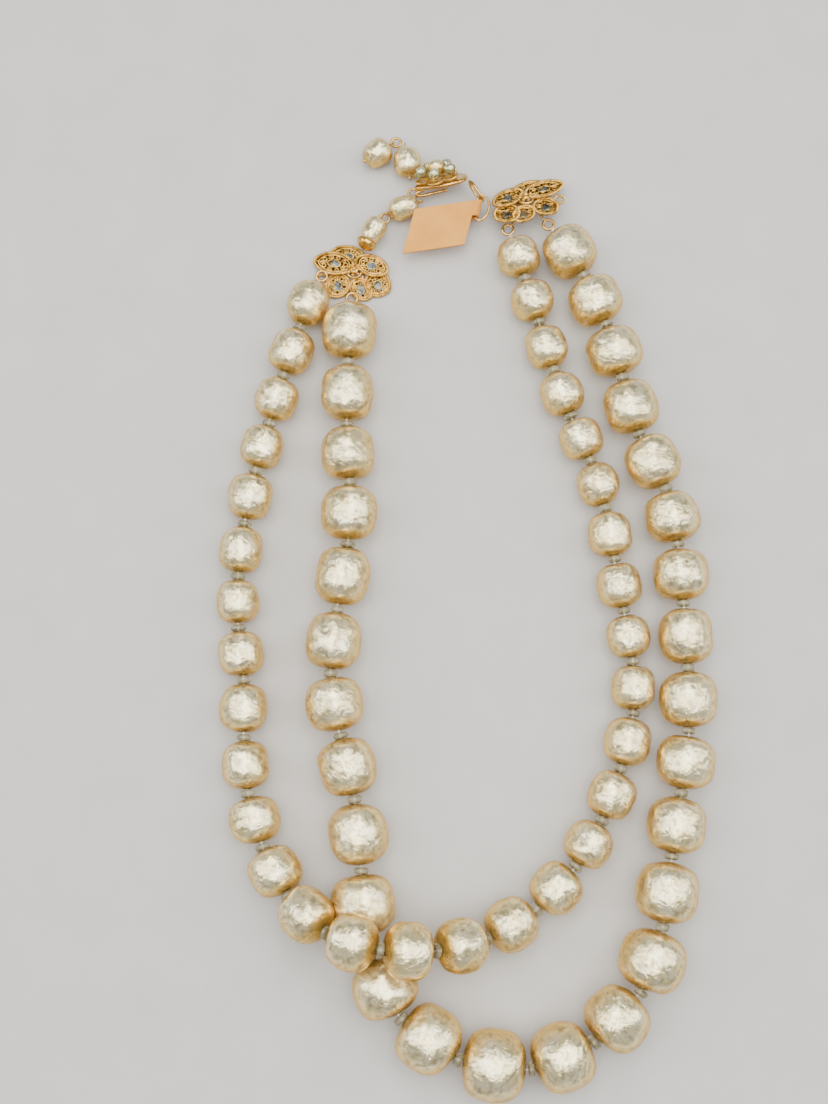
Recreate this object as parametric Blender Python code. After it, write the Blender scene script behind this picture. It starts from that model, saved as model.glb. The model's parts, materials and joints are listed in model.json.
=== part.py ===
"""Two-strand pearl necklace with filigree ends, a hook clasp and a pearl extender, laid out flat.

Named lengths are in millimetres. +Y runs from the front of the necklace to its clasp, +Z is up,
and the pearls rest on z = 0. The origin is under the middle of the laid-out necklace.
"""

import math

import bmesh
import bpy
import numpy as np
from mathutils import Matrix, Vector

MM = 0.001

# Middle of the laid-out necklace, in the coordinates that the layout below is written in.
LAYOUT_MIDDLE = Vector((9.9, -7.2, 0.0))

# The two strands: the route of each thread from the left filigree to the right one, chosen by
# hand as x, y and lift, where lift is how far the thread is raised to pass over the other strand.
INNER_ROUTE = (
    (-19.8, 57.4, 0.0),
    (-22.4, 50.0, 0.0),
    (-27.4, 33.0, 0.0),
    (-32.4, 13.5, 0.0),
    (-35.0, -8.0, 0.0),
    (-33.2, -28.0, 0.0),
    (-32.8, -43.0, 0.0),
    (-30.4, -54.0, 0.0),
    (-26.4, -63.5, 0.8),
    (-20.4, -71.4, 4.0),
    (-11.6, -76.0, 10.1),
    (-0.4, -77.4, 9.1),
    (10.0, -76.6, 3.8),
    (20.0, -72.4, 0.0),
    (28.0, -65.4, 0.0),
    (35.0, -55.6, 0.0),
    (41.4, -39.0, 0.0),
    (43.0, -25.0, 0.0),
    (40.4, -7.0, 0.0),
    (37.2, 13.0, 0.0),
    (29.8, 32.5, 0.0),
    (24.6, 51.5, 0.0),
    (20.1, 67.2, 0.0),
)
OUTER_ROUTE = (
    (-13.0, 52.4, 0.0),
    (-13.2, 44.0, 0.0),
    (-13.6, 21.0, 0.0),
    (-12.6, 6.0, 0.0),
    (-15.2, -13.0, 0.0),
    (-16.2, -29.0, 0.0),
    (-12.6, -43.5, 0.0),
    (-10.2, -58.0, 0.0),
    (-9.8, -70.0, 0.0),
    (-6.2, -84.4, 0.0),
    (3.0, -94.4, 0.0),
    (15.2, -98.8, 0.0),
    (28.0, -97.2, 0.0),
    (38.6, -89.2, 0.0),
    (45.4, -78.6, 0.0),
    (49.2, -59.0, 0.0),
    (53.2, -36.0, 0.0),
    (53.2, -17.0, 0.0),
    (52.4, 0.0, 0.0),
    (50.6, 11.0, 0.0),
    (44.8, 25.0, 0.0),
    (40.6, 42.0, 0.0),
    (36.5, 54.2, 0.0),
    (28.9, 68.5, 0.0),
)
ROUTE_STEPS = 24

# Pearl sizes: a plain diameter near the clasp, growing towards the front by a rounded bump. The
# taper makes the pearls a little longer at the left filigree than at the right one.
INNER_COUNT = 31
INNER_DIAMETER = 8.9
INNER_GROWTH = 1.8
INNER_TAPER = 0.05
OUTER_COUNT = 28
OUTER_DIAMETER = 11.2
OUTER_GROWTH = 1.8
OUTER_TAPER = 0.09
GROWTH_PEAK = 0.46
GROWTH_SPREAD = 0.15
LENGTH_GROWTH = 0.35
WIDTH_VARIATION = 0.02
LENGTH_VARIATION = 0.045
# Steps of the two waves that make neighbouring pearls uneven, in radians from pearl to pearl.
WIDTH_WAVE = 4.3
LENGTH_WAVE = 7.9
PEARL_STATIONS = (-1.0, -0.8, -0.32, 0.32, 0.8, 1.0)
PEARL_FULLNESS = 2.5
PEARL_END = 0.2
STRAND_SIDES = 8

# Between two pearls sits a glass seed bead on the thread. Where a strand bends, the bead leaves
# a gap on one side so that the joint can turn.
SPACER_LENGTH = 1.7
SPACER_RADIUS = 1.45
SPACER_END_RADIUS = 0.7
SPACER_INSET = 0.18
BEND_GAP = 0.45
STIFF_GAP = 0.4

# A short wire wrap ties each strand end to a ring. The thread comes down to the flat left
# filigree, and stays level towards the raised edge of the right one.
WRAP_LENGTH = 1.6
WRAP_RADIUS = 0.5
WRAP_CLEARANCE = 0.3
LEFT_END_HEIGHT = 1.5
RIGHT_END_HEIGHT = 3.0

# Bare thread where the inner strand lies across the outer one, after this outer pearl.
CROSSING_AFTER = 10
CROSSING_SLACK = 3.2

# Pearls of one node, as the last pearl number of each node, counted from the left filigree.
INNER_GROUP_ENDS = (1, 3, 5, 7, 9, 11, 13, 15, 16, 18, 21, 23, 24, 27, 29, 31)
OUTER_GROUP_ENDS = (2, 4, 5, 7, 9, 11, 13, 15, 17, 19, 21, 22, 24, 26, 28)
# Groups after which the strand doesn't bend, because the next group is in the same rigid length.
INNER_STIFF_ENDS = (13, 15, 16)
OUTER_STIFF_ENDS = (13,)

# Hinge axes: lines across both strands where the laid-out necklace folds, and the line through two
# gaps of the outer strand on which its front turns. A gap is within the reach of its fold line.
FOLD_LINES = (48.0, 25.6, 1.4, -13.0, -36.0, -61.2)
FOLD_HEIGHT = 5.2
FOLD_REACH = 5.0
FRONT_HEIGHT = 6.3

# Filigree ends: stamped lobed plates in two layers, with a domed rivet.
PLATE_THICKNESS = 0.7
LAYER_GAP = 0.3
LEFT_PLATE = Vector((-13.0, 59.6, 0.0))
LEFT_TURN = math.radians(-12)
RIGHT_PLATE = Vector((24.2, 74.4, 2.9))
RIGHT_TURN = math.radians(12)
RIGHT_TILT = math.radians(-26)
BASE_SIZE = (8.0, 5.9)
BASE_LOBES = 7
TOP_SIZE = (4.4, 3.6)
TOP_LOBES = 5
TOP_OFFSET = Vector((0.6, 1.3, PLATE_THICKNESS + LAYER_GAP))
LOBE_DEPTH = 0.16
LOBE_ROUNDNESS = 0.6
LOBE_POINTS = 6
HOLE_RADIUS = 0.75
HOLE_RING = 0.72
HOLE_SIDES = 8
# Height and radius pairs of the domed rivet, from its foot up.
RIVET_PROFILE = ((0.0, 1.5), (0.6, 1.1), (1.0, 0.3))

# Wire rings.
EYE_RADIUS = 1.1
EYE_WIRE = 0.33
LEFT_EYE_HEIGHT = 1.4
RIGHT_EYE_HEIGHT = 2.6
RING_STEPS = 16
RING_SIDES = 6

# Extender: pearls on eye pins, from the left filigree to the loose end, as centre, turn about Z
# and half sizes, and the wire links between them. The first pearl sits in a bead cap.
EXTENDER_PEARLS = (
    (Vector((-8.5, 68.2, 2.8)), math.radians(62), (3.1, 2.8)),
    (Vector((-2.2, 73.6, 2.6)), math.radians(20), (3.2, 2.6)),
    (Vector((-1.4, 83.8, 3.0)), math.radians(97), (3.1, 3.0)),
    (Vector((-7.8, 85.8, 3.0)), math.radians(215), (3.1, 3.0)),
)
EXTENDER_LINKS = (
    Vector((-6.2, 71.7, 1.5)),
    Vector((-0.1, 77.3, 1.5)),
    Vector((-3.8, 89.0, 1.5)),
)
EXTENDER_LINK_RADIUS = 1.0
EXTENDER_LINK_WIRE = 0.3
# Distance and radius pairs of the bead cap, which sits this far outside the first pearl's end.
BEAD_CAP_PROFILE = ((-0.5, 0.5), (0.1, 1.9), (0.5, 1.9))
BEAD_CAP_GAP = 0.9
# From the first pearl's end to the edge of the left filigree, where the extender swings.
EXTENDER_REACH = 1.6
BEAD_SIDES = 10

# Clasp: a leaf-shaped hook plate under a small filigree flower with seed pearls around a centre
# pearl, standing on its edge beside the extender.
CLASP_CENTRE = Vector((5.0, 79.0, 4.5))
CLASP_TURN = math.radians(14)
CLASP_LEAN = math.radians(-48)
HOOK_LENGTH = 11.4
HOOK_WIDTH = 6.0
HOOK_THICKNESS = 0.8
HOOK_NARROWING = 0.35
HOOK_SHIFT = 0.6
HOOK_STEPS = 16
FLOWER_RADIUS = 4.6
FLOWER_FLATNESS = 0.8
SEED_COUNT = 5
SEED_RADIUS = 1.25
SEED_RING = 3.2
SEED_STATIONS = (-1.0, -0.6, 0.6, 1.0)
SEED_SIDES = 8
CENTRE_PEARL_RADIUS = 1.7

# An oval ring, upright, and a long flat ring join the hook plate to the right filigree. The oval
# ring starts close to the end of the plate and goes through the long ring at LINK_JOIN, an angle
# counted from the side of the long ring nearer the filigree towards the clasp.
CLASP_RING = Vector((13.08, 76.93, 3.4))
CLASP_RING_TURN = math.radians(-57)
CLASP_RING_SIZE = (2.53, 1.4)
LINK_CENTRE = Vector((14.1, 73.1, 3.4))
LINK_TURN = math.radians(-14)
LINK_SIZE = (1.6, 2.8)
LINK_JOIN = math.radians(120)

# Blank paper tag: a slanted panel with a narrow tail that folds round one side of the long ring.
TAG_FOLD = Vector((12.75, 72.7, 3.4))
TAG_TURN = math.radians(9)
TAG_LENGTH = 13.2
TAG_WIDTH = 9.4
TAG_SLANT = 0.43
TAG_THICKNESS = 0.4
TAG_BEND = 1.3
TAG_JOIN = 0.2
TAIL_WIDTH = 3.2
TAIL_LENGTH = 7.5
BEND_STEPS = 6

PEARL = ("pearl", (0.86, 0.80, 0.68), 0.25, 0.0)
SEED_PEARL = ("seed_pearl", (0.80, 0.82, 0.68), 0.25, 0.0)
GOLD = ("antique_gold", (0.62, 0.44, 0.16), 0.35, 1.0)
PAPER = ("tag_paper", (0.86, 0.52, 0.32), 0.8, 0.0)


def clear_scene():
    """Remove every object that is already there."""
    for item in list(bpy.data.objects):
        bpy.data.objects.remove(item, do_unlink=True)


def finish_material(finish):
    """Principled material from a name, colour, roughness and metallic value."""
    name, colour, roughness, metallic = finish
    material = bpy.data.materials.get(name)
    if material is None:
        material = bpy.data.materials.new(name)
        material.use_nodes = True
        shader = material.node_tree.nodes["Principled BSDF"]
        shader.inputs["Base Color"].default_value = (*colour, 1.0)
        shader.inputs["Roughness"].default_value = roughness
        shader.inputs["Metallic"].default_value = metallic
    return material


def add_piece(name, shape, finish, smooth_angle=50.0, origin=LAYOUT_MIDDLE):
    """Turn a bmesh in millimetres into a named object whose origin is a point of its hinge axis."""
    bmesh.ops.translate(shape, verts=shape.verts, vec=-origin)
    bmesh.ops.scale(shape, verts=shape.verts, vec=(MM, MM, MM))
    bmesh.ops.recalc_face_normals(shape, faces=shape.faces)
    mesh = bpy.data.meshes.new(name)
    shape.to_mesh(mesh)
    shape.free()
    mesh.shade_smooth()
    mesh.set_sharp_from_angle(angle=math.radians(smooth_angle))
    mesh.materials.append(finish_material(finish))
    piece = bpy.data.objects.new(name, mesh)
    piece.location = (origin - LAYOUT_MIDDLE) * MM
    bpy.context.scene.collection.objects.link(piece)
    return piece


def tube(stations, sides):
    """Closed tube through rings given as centre, direction and radius, with flat ends."""
    shape = bmesh.new()
    rings = []
    for centre, direction, radius in stations:
        side = direction.cross(Vector((0, 0, 1))).normalized()
        up = side.cross(direction).normalized()
        ring = []
        for step in range(sides):
            angle = math.tau * step / sides
            offset = side * math.sin(angle) + up * math.cos(angle)
            ring.append(shape.verts.new(centre + offset * radius))
        rings.append(ring)
    for before, after in zip(rings, rings[1:]):
        for step in range(sides):
            following = (step + 1) % sides
            shape.faces.new((before[step], before[following], after[following], after[step]))
    shape.faces.new(rings[0])
    shape.faces.new(rings[-1])
    return shape


def wire_ring(centre, turn, size, wire):
    """Closed round or oval ring of wire, with half widths along the turn's X and Y."""
    shape = bmesh.new()
    rings = []
    for step in range(RING_STEPS):
        angle = math.tau * step / RING_STEPS
        outward = Vector((math.cos(angle), math.sin(angle), 0))
        ring = []
        for side in range(RING_SIDES):
            around = math.tau * side / RING_SIDES
            place = outward * wire * math.cos(around)
            place += Vector((outward.x * size[0], outward.y * size[1], 0))
            place.z = wire * math.sin(around)
            ring.append(shape.verts.new(centre + turn @ place))
        rings.append(ring)
    for step, ring in enumerate(rings):
        following = rings[(step + 1) % RING_STEPS]
        for side in range(RING_SIDES):
            beside = (side + 1) % RING_SIDES
            shape.faces.new((ring[side], following[side], following[beside], ring[beside]))
    return shape


def turned(profile, centre, turn, sides):
    """Closed body turned round its own X axis from a profile of distance and radius."""
    stations = []
    direction = turn @ Vector((1, 0, 0))
    for distance, radius in profile:
        stations.append((centre + direction * distance, direction, radius))
    return tube(stations, sides)


def prism(outline, height, centre, turn, slant=0.0):
    """Flat plate: an outline in X and Y raised along Z, slanting along X, turned and placed."""
    shape = bmesh.new()
    low = [shape.verts.new(centre + turn @ Vector((x, y, 0))) for x, y in outline]
    shifted = [Vector((x + slant, y, height)) for x, y in outline]
    high = [shape.verts.new(centre + turn @ place) for place in shifted]
    count = len(outline)
    for step in range(count):
        following = (step + 1) % count
        shape.faces.new((low[step], low[following], high[following], high[step]))
    shape.faces.new(low)
    shape.faces.new(high)
    return shape


def lobed_outline(size, lobes):
    """Flower outline with rounded lobes, as wide and as high as twice the size."""
    outline = []
    for step in range(lobes * LOBE_POINTS):
        angle = math.tau * step / (lobes * LOBE_POINTS)
        swell = 1.0 - LOBE_DEPTH * (1.0 - abs(math.sin(lobes * angle / 2.0)) ** LOBE_ROUNDNESS)
        outline.append((size[0] * swell * math.cos(angle), size[1] * swell * math.sin(angle)))
    return outline


def pearl_radius(station):
    """Relative radius of a rounded-barrel pearl at a station from -1 to 1 along its hole."""
    return max(PEARL_END, (1.0 - abs(station) ** PEARL_FULLNESS) ** (1.0 / PEARL_FULLNESS))


def pearl_profile(half_length, radius, stations=PEARL_STATIONS):
    """Distance and radius pairs of one pearl along its hole."""
    return [(half_length * place, radius * pearl_radius(place)) for place in stations]


def smooth_route(points):
    """Smooth curve through the route's points: its samples and the length run at each one."""
    knots = np.array(points, float)
    padded = np.vstack([2 * knots[0] - knots[1], knots, 2 * knots[-1] - knots[-2]])
    samples = []
    for before, start, end, after in zip(padded, padded[1:], padded[2:], padded[3:]):
        for part in np.linspace(0.0, 1.0, ROUTE_STEPS, endpoint=False):
            linear = (end - before) * part
            square = (2 * before - 5 * start + 4 * end - after) * part**2
            cube = (3 * start - before - 3 * end + after) * part**3
            samples.append(0.5 * (2 * start + linear + square + cube))
    samples.append(knots[-1])
    path = np.array(samples)
    run = np.concatenate([[0.0], np.cumsum(np.linalg.norm(np.diff(path, axis=0), axis=1))])
    return path, run


def strand_pearls(route, count, diameter, growth, taper, slack_after=0):
    """Sizes and places of a strand's pearls, filling its route from wrap to wrap.

    Returns the pearls as dictionaries with radius, start and end along the thread, and a
    function that gives the thread's point at a length along it.
    """
    path, run = smooth_route(route)
    pearls = []
    for number in range(1, count + 1):
        position = (number - 0.5) / count
        swell = math.exp(-(((position - GROWTH_PEAK) / GROWTH_SPREAD) ** 2))
        width = diameter + growth * swell
        width *= 1.0 + WIDTH_VARIATION * math.sin(WIDTH_WAVE * number + count)
        length = diameter + growth * LENGTH_GROWTH * swell
        length *= 1.0 + taper * (0.5 - position)
        length *= 1.0 + LENGTH_VARIATION * math.sin(LENGTH_WAVE * number + 2.0 * count)
        pearls.append({"number": number, "radius": width / 2.0, "length": length})
    slack = CROSSING_SLACK if slack_after else 0.0
    free = run[-1] - 2.0 * WRAP_LENGTH - (count - 1) * SPACER_LENGTH - slack
    stretch = free / sum(pearl["length"] for pearl in pearls)
    place = WRAP_LENGTH
    for pearl in pearls:
        pearl["start"] = place
        pearl["end"] = place + pearl["length"] * stretch
        pearl["middle"] = (pearl["start"] + pearl["end"]) / 2.0
        place = pearl["end"] + SPACER_LENGTH
        if pearl["number"] == slack_after:
            place += slack
    lengths = [0.0, pearls[0]["start"]]
    heights = [LEFT_END_HEIGHT, pearls[0]["radius"]]
    for pearl in pearls:
        lengths.append(pearl["middle"])
        heights.append(pearl["radius"])
    lengths += [pearls[-1]["end"], run[-1]]
    heights += [pearls[-1]["radius"], RIGHT_END_HEIGHT]

    def point(length):
        """Point of the thread at a length along it, as high as the pearls beside it."""
        x, y, lift = (float(np.interp(length, run, path[:, axis])) for axis in range(3))
        return Vector((x, y, lift + float(np.interp(length, lengths, heights))))

    return pearls, point


def inner_strand():
    """Pearls and thread of the inner strand."""
    return strand_pearls(INNER_ROUTE, INNER_COUNT, INNER_DIAMETER, INNER_GROWTH, INNER_TAPER)


def outer_strand():
    """Pearls and thread of the outer strand, which passes under the inner one."""
    sizes = (OUTER_COUNT, OUTER_DIAMETER, OUTER_GROWTH, OUTER_TAPER)
    return strand_pearls(OUTER_ROUTE, *sizes, slack_after=CROSSING_AFTER)


def spacer_stations(point, start, end):
    """Rings of one seed bead on the thread between two lengths."""
    direction = (point(end) - point(start)).normalized()
    middle = (start + end) / 2.0
    return [
        (point(start), direction, SPACER_END_RADIUS),
        (point(middle), direction, SPACER_RADIUS),
        (point(end), direction, SPACER_END_RADIUS),
    ]


def wrap_stations(point, start, end):
    """Rings of the wire wrap that ties a strand end to its ring."""
    direction = (point(end) - point(start)).normalized()
    return [(point(start), direction, WRAP_RADIUS), (point(end), direction, WRAP_RADIUS)]


def group_stations(pearls, point, first, last, bends_before, count):
    """Rings of a node that holds the pearls first to last and the seed beads between them."""
    stations = []
    for number in range(first, last + 1):
        pearl = pearls[number - 1]
        if number == 1:
            stations += wrap_stations(point, WRAP_CLEARANCE, pearl["start"] - SPACER_INSET)
        else:
            bead_start = pearls[number - 2]["end"] + SPACER_INSET
            if number == first:
                bead_start = pearls[number - 2]["end"] + (BEND_GAP if bends_before else STIFF_GAP)
            stations += spacer_stations(point, bead_start, pearl["start"] - SPACER_INSET)
        axis = point(pearl["end"]) - point(pearl["start"])
        middle = (point(pearl["end"]) + point(pearl["start"])) / 2.0
        middle.z = point(pearl["middle"]).z
        half = axis.length / 2.0
        direction = axis.normalized()
        for distance, radius in pearl_profile(half, pearl["radius"]):
            stations.append((middle + direction * distance, direction, radius))
    if last == count:
        inner_end = pearls[-1]["end"] + SPACER_INSET
        stations += wrap_stations(point, inner_end, inner_end + WRAP_LENGTH - WRAP_CLEARANCE)
    return stations


def group_name(strand, first, last):
    """Node name of the pearls first to last of a strand."""
    if first == last:
        return f"{strand}_pearl_{first:02d}"
    return f"{strand}_pearls_{first:02d}_{last:02d}"


def hinge_point(gap):
    """Point on the hinge axis beside a gap of a strand."""
    line = min(FOLD_LINES, key=lambda place: abs(place - gap.y))
    if abs(line - gap.y) > FOLD_REACH:
        return Vector((gap.x, gap.y, FRONT_HEIGHT))
    return Vector((gap.x, line, FOLD_HEIGHT))


def add_strand(strand, pearls, point, group_ends, stiff_ends):
    """Add every node of one strand, each with its origin on its rigid length's hinge axis."""
    count = len(pearls)
    first = 1
    origin = LAYOUT_MIDDLE
    for last in group_ends:
        bends_before = first > 1 and first - 1 not in stiff_ends
        if bends_before:
            gap_middle = (pearls[first - 2]["end"] + pearls[first - 1]["start"]) / 2.0
            origin = hinge_point(point(gap_middle))
        shape = tube(group_stations(pearls, point, first, last, bends_before, count), STRAND_SIDES)
        add_piece(group_name(strand, first, last), shape, PEARL, origin=origin)
        first = last + 1


def add_filigree(side, centre, turn, origin):
    """Add one filigree end: a lobed base, a smaller lobed layer on top and a domed rivet."""
    holes = add_hole_cutter(side, centre, turn)
    shape = prism(lobed_outline(BASE_SIZE, BASE_LOBES), PLATE_THICKNESS, centre, turn)
    base = add_piece(f"{side}_filigree_base", shape, GOLD, 30.0, origin)
    cut = base.modifiers.new("openwork", "BOOLEAN")
    cut.operation = "DIFFERENCE"
    cut.object = holes
    top_place = centre + turn @ TOP_OFFSET
    shape = prism(lobed_outline(TOP_SIZE, TOP_LOBES), PLATE_THICKNESS, top_place, turn)
    add_piece(f"{side}_filigree_petals", shape, GOLD, 30.0, origin)
    rivet_place = top_place + turn @ Vector((0, 0, PLATE_THICKNESS + LAYER_GAP))
    upright = turn @ Matrix.Rotation(math.radians(-90), 3, "Y")
    rivet = turned(RIVET_PROFILE, rivet_place, upright, BEAD_SIDES)
    add_piece(f"{side}_filigree_rivet", rivet, GOLD, origin=origin)


def add_hole_cutter(side, centre, turn):
    """One hidden cutter with a round peg through each lobe of a filigree base."""
    cutter = bmesh.new()
    for lobe in range(BASE_LOBES):
        angle = math.tau * (lobe + 0.5) / BASE_LOBES
        place = Vector((BASE_SIZE[0] * math.cos(angle), BASE_SIZE[1] * math.sin(angle), 0.0))
        middle = place * HOLE_RING + Vector((0, 0, PLATE_THICKNESS / 2))
        matrix = Matrix.Translation(centre + turn @ middle) @ turn.to_4x4()
        bmesh.ops.create_cone(
            cutter,
            cap_ends=True,
            segments=HOLE_SIDES,
            radius1=HOLE_RADIUS,
            radius2=HOLE_RADIUS,
            depth=3 * PLATE_THICKNESS,
            matrix=matrix,
        )
    holes = add_piece(f"{side}_filigree_cutter", cutter, GOLD)
    holes.hide_render = True
    holes.display_type = "WIRE"
    return holes


def add_eye(name, end, inward, height, origin):
    """Add the flat wire ring that ties a strand end to its filigree, just past the end."""
    outward = Vector((end.x - inward.x, end.y - inward.y, 0)).normalized()
    centre = end + outward * (EYE_RADIUS + EYE_WIRE)
    centre.z = height
    ring = wire_ring(centre, Matrix.Identity(3), (EYE_RADIUS, EYE_RADIUS), EYE_WIRE)
    add_piece(name, ring, GOLD, origin=origin)


def right_end(pearls, point):
    """End of a strand's last wire wrap, at the height of its ring."""
    end = point(pearls[-1]["end"] + WRAP_LENGTH)
    return Vector((end.x, end.y, RIGHT_EYE_HEIGHT))


def add_eyes(strand, pearls, point, origin):
    """Add the rings at both ends of one strand."""
    first = point(pearls[0]["start"])
    add_eye(f"left_{strand}_eye", point(0.0), first, LEFT_EYE_HEIGHT, LAYOUT_MIDDLE)
    last = point(pearls[-1]["end"])
    end = right_end(pearls, point)
    add_eye(f"right_{strand}_eye", end, last, RIGHT_EYE_HEIGHT, origin)


def extender_edge():
    """Point at the left filigree's edge where the first extender pearl's pin swings."""
    centre, angle, half = EXTENDER_PEARLS[0]
    reach = half[0] + EXTENDER_REACH
    return centre - Vector((math.cos(angle), math.sin(angle), 0)) * reach


def add_extender():
    """Add the bead cap, the extender's pearls and the wire links between them.

    Each pearl and the link after it turn together, round the link before it.
    """
    pivots = (extender_edge(), *EXTENDER_LINKS)
    for number, (centre, angle, half) in enumerate(EXTENDER_PEARLS, start=1):
        turn = Matrix.Rotation(angle, 3, "Z")
        shape = turned(pearl_profile(half[0], half[1]), centre, turn, BEAD_SIDES)
        add_piece(f"extender_pearl_{number}", shape, PEARL, origin=pivots[number - 1])
    flat = Matrix.Identity(3)
    size = (EXTENDER_LINK_RADIUS, EXTENDER_LINK_RADIUS)
    for number, centre in enumerate(EXTENDER_LINKS, start=1):
        shape = wire_ring(centre, flat, size, EXTENDER_LINK_WIRE)
        add_piece(f"extender_link_{number}", shape, GOLD, origin=pivots[number - 1])
    centre, angle, half = EXTENDER_PEARLS[0]
    turn = Matrix.Rotation(angle, 3, "Z")
    cap_place = centre + turn @ Vector((-half[0] - BEAD_CAP_GAP, 0, 0))
    cap = turned(BEAD_CAP_PROFILE, cap_place, turn, BEAD_SIDES)
    add_piece("extender_bead_cap", cap, GOLD, origin=pivots[0])


def hook_outline():
    """Leaf outline of the hook plate, narrower at the hook's end."""
    outline = []
    for step in range(HOOK_STEPS):
        angle = math.tau * step / HOOK_STEPS
        half_width = HOOK_WIDTH / 2 * (1.0 + HOOK_NARROWING * math.cos(angle))
        x = HOOK_SHIFT + HOOK_LENGTH / 2 * math.cos(angle)
        outline.append((x, half_width * math.sin(angle)))
    return outline


def clasp_turn():
    """Direction of the clasp: its flower faces along the turned Z."""
    return Matrix.Rotation(CLASP_TURN, 3, "Z") @ Matrix.Rotation(CLASP_LEAN, 3, "X")


def link_point(along, across):
    """Point of the long ring, in shares of its half length and half width."""
    across_way = Vector((math.cos(LINK_TURN), math.sin(LINK_TURN), 0))
    along_way = Vector((-math.sin(LINK_TURN), math.cos(LINK_TURN), 0))
    return LINK_CENTRE + along_way * LINK_SIZE[1] * along + across_way * LINK_SIZE[0] * across


def add_clasp():
    """Add the hook plate, the filigree flower, its pearls and the two rings.

    All but the long ring turn round the wire of the long ring, where the oval ring goes through.
    """
    turn = clasp_turn()
    hinge = link_point(math.sin(LINK_JOIN), math.cos(LINK_JOIN))
    plate = CLASP_CENTRE - turn @ Vector((0, 0, HOOK_THICKNESS + LAYER_GAP))
    hook = prism(hook_outline(), HOOK_THICKNESS, plate, turn)
    add_piece("clasp_hook", hook, GOLD, 30.0, hinge)
    outline = lobed_outline((FLOWER_RADIUS, FLOWER_RADIUS * FLOWER_FLATNESS), SEED_COUNT)
    flower = prism(outline, PLATE_THICKNESS, CLASP_CENTRE, turn)
    add_piece("clasp_filigree", flower, GOLD, 30.0, hinge)
    seat = PLATE_THICKNESS + LAYER_GAP
    middle = CLASP_CENTRE + turn @ Vector((0, 0, seat + CENTRE_PEARL_RADIUS))
    profile = pearl_profile(CENTRE_PEARL_RADIUS, CENTRE_PEARL_RADIUS)
    centre_pearl = turned(profile, middle, turn, SEED_SIDES)
    add_piece("clasp_centre_pearl", centre_pearl, PEARL, origin=hinge)
    for number in range(1, SEED_COUNT + 1):
        angle = math.tau * (number - 0.5) / SEED_COUNT
        place = Vector((math.cos(angle), math.sin(angle), 0)) * SEED_RING
        place.z = seat + SEED_RADIUS
        spin = turn @ Matrix.Rotation(angle, 3, "Z")
        profile = pearl_profile(SEED_RADIUS, SEED_RADIUS, SEED_STATIONS)
        shape = turned(profile, CLASP_CENTRE + turn @ place, spin, SEED_SIDES)
        add_piece(f"clasp_seed_pearl_{number}", shape, SEED_PEARL, origin=hinge)
    upright = Matrix.Rotation(CLASP_RING_TURN, 3, "Z") @ Matrix.Rotation(math.radians(90), 3, "X")
    ring = wire_ring(CLASP_RING, upright, CLASP_RING_SIZE, EYE_WIRE)
    add_piece("clasp_ring", ring, GOLD, origin=hinge)
    link = wire_ring(LINK_CENTRE, Matrix.Rotation(LINK_TURN, 3, "Z"), LINK_SIZE, EYE_WIRE)
    add_piece("clasp_link", link, GOLD, origin=link_point(0.0, 1.0))


def tail_profile():
    """Side view of the folded tail: along the upper leaf, round the bend and back below."""
    outer = [(-TAIL_LENGTH, TAG_BEND)]
    inner = [(-TAIL_LENGTH, TAG_BEND - TAG_THICKNESS)]
    for step in range(BEND_STEPS + 1):
        angle = math.radians(90) - math.pi * step / BEND_STEPS
        along, up = math.cos(angle), math.sin(angle)
        outer.append((TAG_BEND * along, TAG_BEND * up))
        inner.append(((TAG_BEND - TAG_THICKNESS) * along, (TAG_BEND - TAG_THICKNESS) * up))
    outer.append((-TAIL_LENGTH, -TAG_BEND))
    inner.append((-TAIL_LENGTH, TAG_THICKNESS - TAG_BEND))
    return outer + inner[::-1]


def add_tag():
    """Add the blank paper tag: a slanted panel joined to the upper leaf of its folded tail."""
    turn = Matrix.Rotation(TAG_TURN, 3, "Z")
    # A profile in the strip's length and thickness is swept along the strip's width.
    sweep = turn @ Matrix.Rotation(math.radians(90), 3, "X")
    place = TAG_FOLD + turn @ Vector((TAG_SLANT * TAIL_WIDTH / 2, TAIL_WIDTH / 2, 0))
    tail_slant = -TAG_SLANT * TAIL_WIDTH
    tail = prism(tail_profile(), TAIL_WIDTH, place, sweep, tail_slant)
    top = TAG_BEND
    low = TAG_BEND - TAG_THICKNESS
    leaf = [(-TAG_LENGTH, top), (-TAG_JOIN, top), (-TAG_JOIN, low), (-TAG_LENGTH, low)]
    panel = prism(leaf, TAG_WIDTH, place, sweep, -TAG_SLANT * TAG_WIDTH)
    hinge = link_point(0.0, -1.0)
    fold = add_piece("price_tag_tail", tail, PAPER, 30.0, hinge)
    fold.hide_render = True
    fold.display_type = "WIRE"
    tag = add_piece("price_tag", panel, PAPER, 30.0, hinge)
    join = tag.modifiers.new("tail", "BOOLEAN")
    join.operation = "UNION"
    join.object = fold


def build():
    """Build the whole necklace."""
    clear_scene()
    inner_pearls, inner_point = inner_strand()
    outer_pearls, outer_point = outer_strand()
    add_strand("inner", inner_pearls, inner_point, INNER_GROUP_ENDS, INNER_STIFF_ENDS)
    add_strand("outer", outer_pearls, outer_point, OUTER_GROUP_ENDS, OUTER_STIFF_ENDS)
    right_hinge = right_end(outer_pearls, outer_point)
    add_eyes("inner", inner_pearls, inner_point, right_hinge)
    add_eyes("outer", outer_pearls, outer_point, right_hinge)
    add_filigree("left", LEFT_PLATE, Matrix.Rotation(LEFT_TURN, 3, "Z"), LAYOUT_MIDDLE)
    lean = Matrix.Rotation(RIGHT_TURN, 3, "Z") @ Matrix.Rotation(RIGHT_TILT, 3, "X")
    add_filigree("right", RIGHT_PLATE, lean, right_hinge)
    add_extender()
    add_clasp()
    add_tag()


build()
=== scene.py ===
import json
import math

import bpy
import numpy as np
from mathutils import Matrix, Vector, noise

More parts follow.
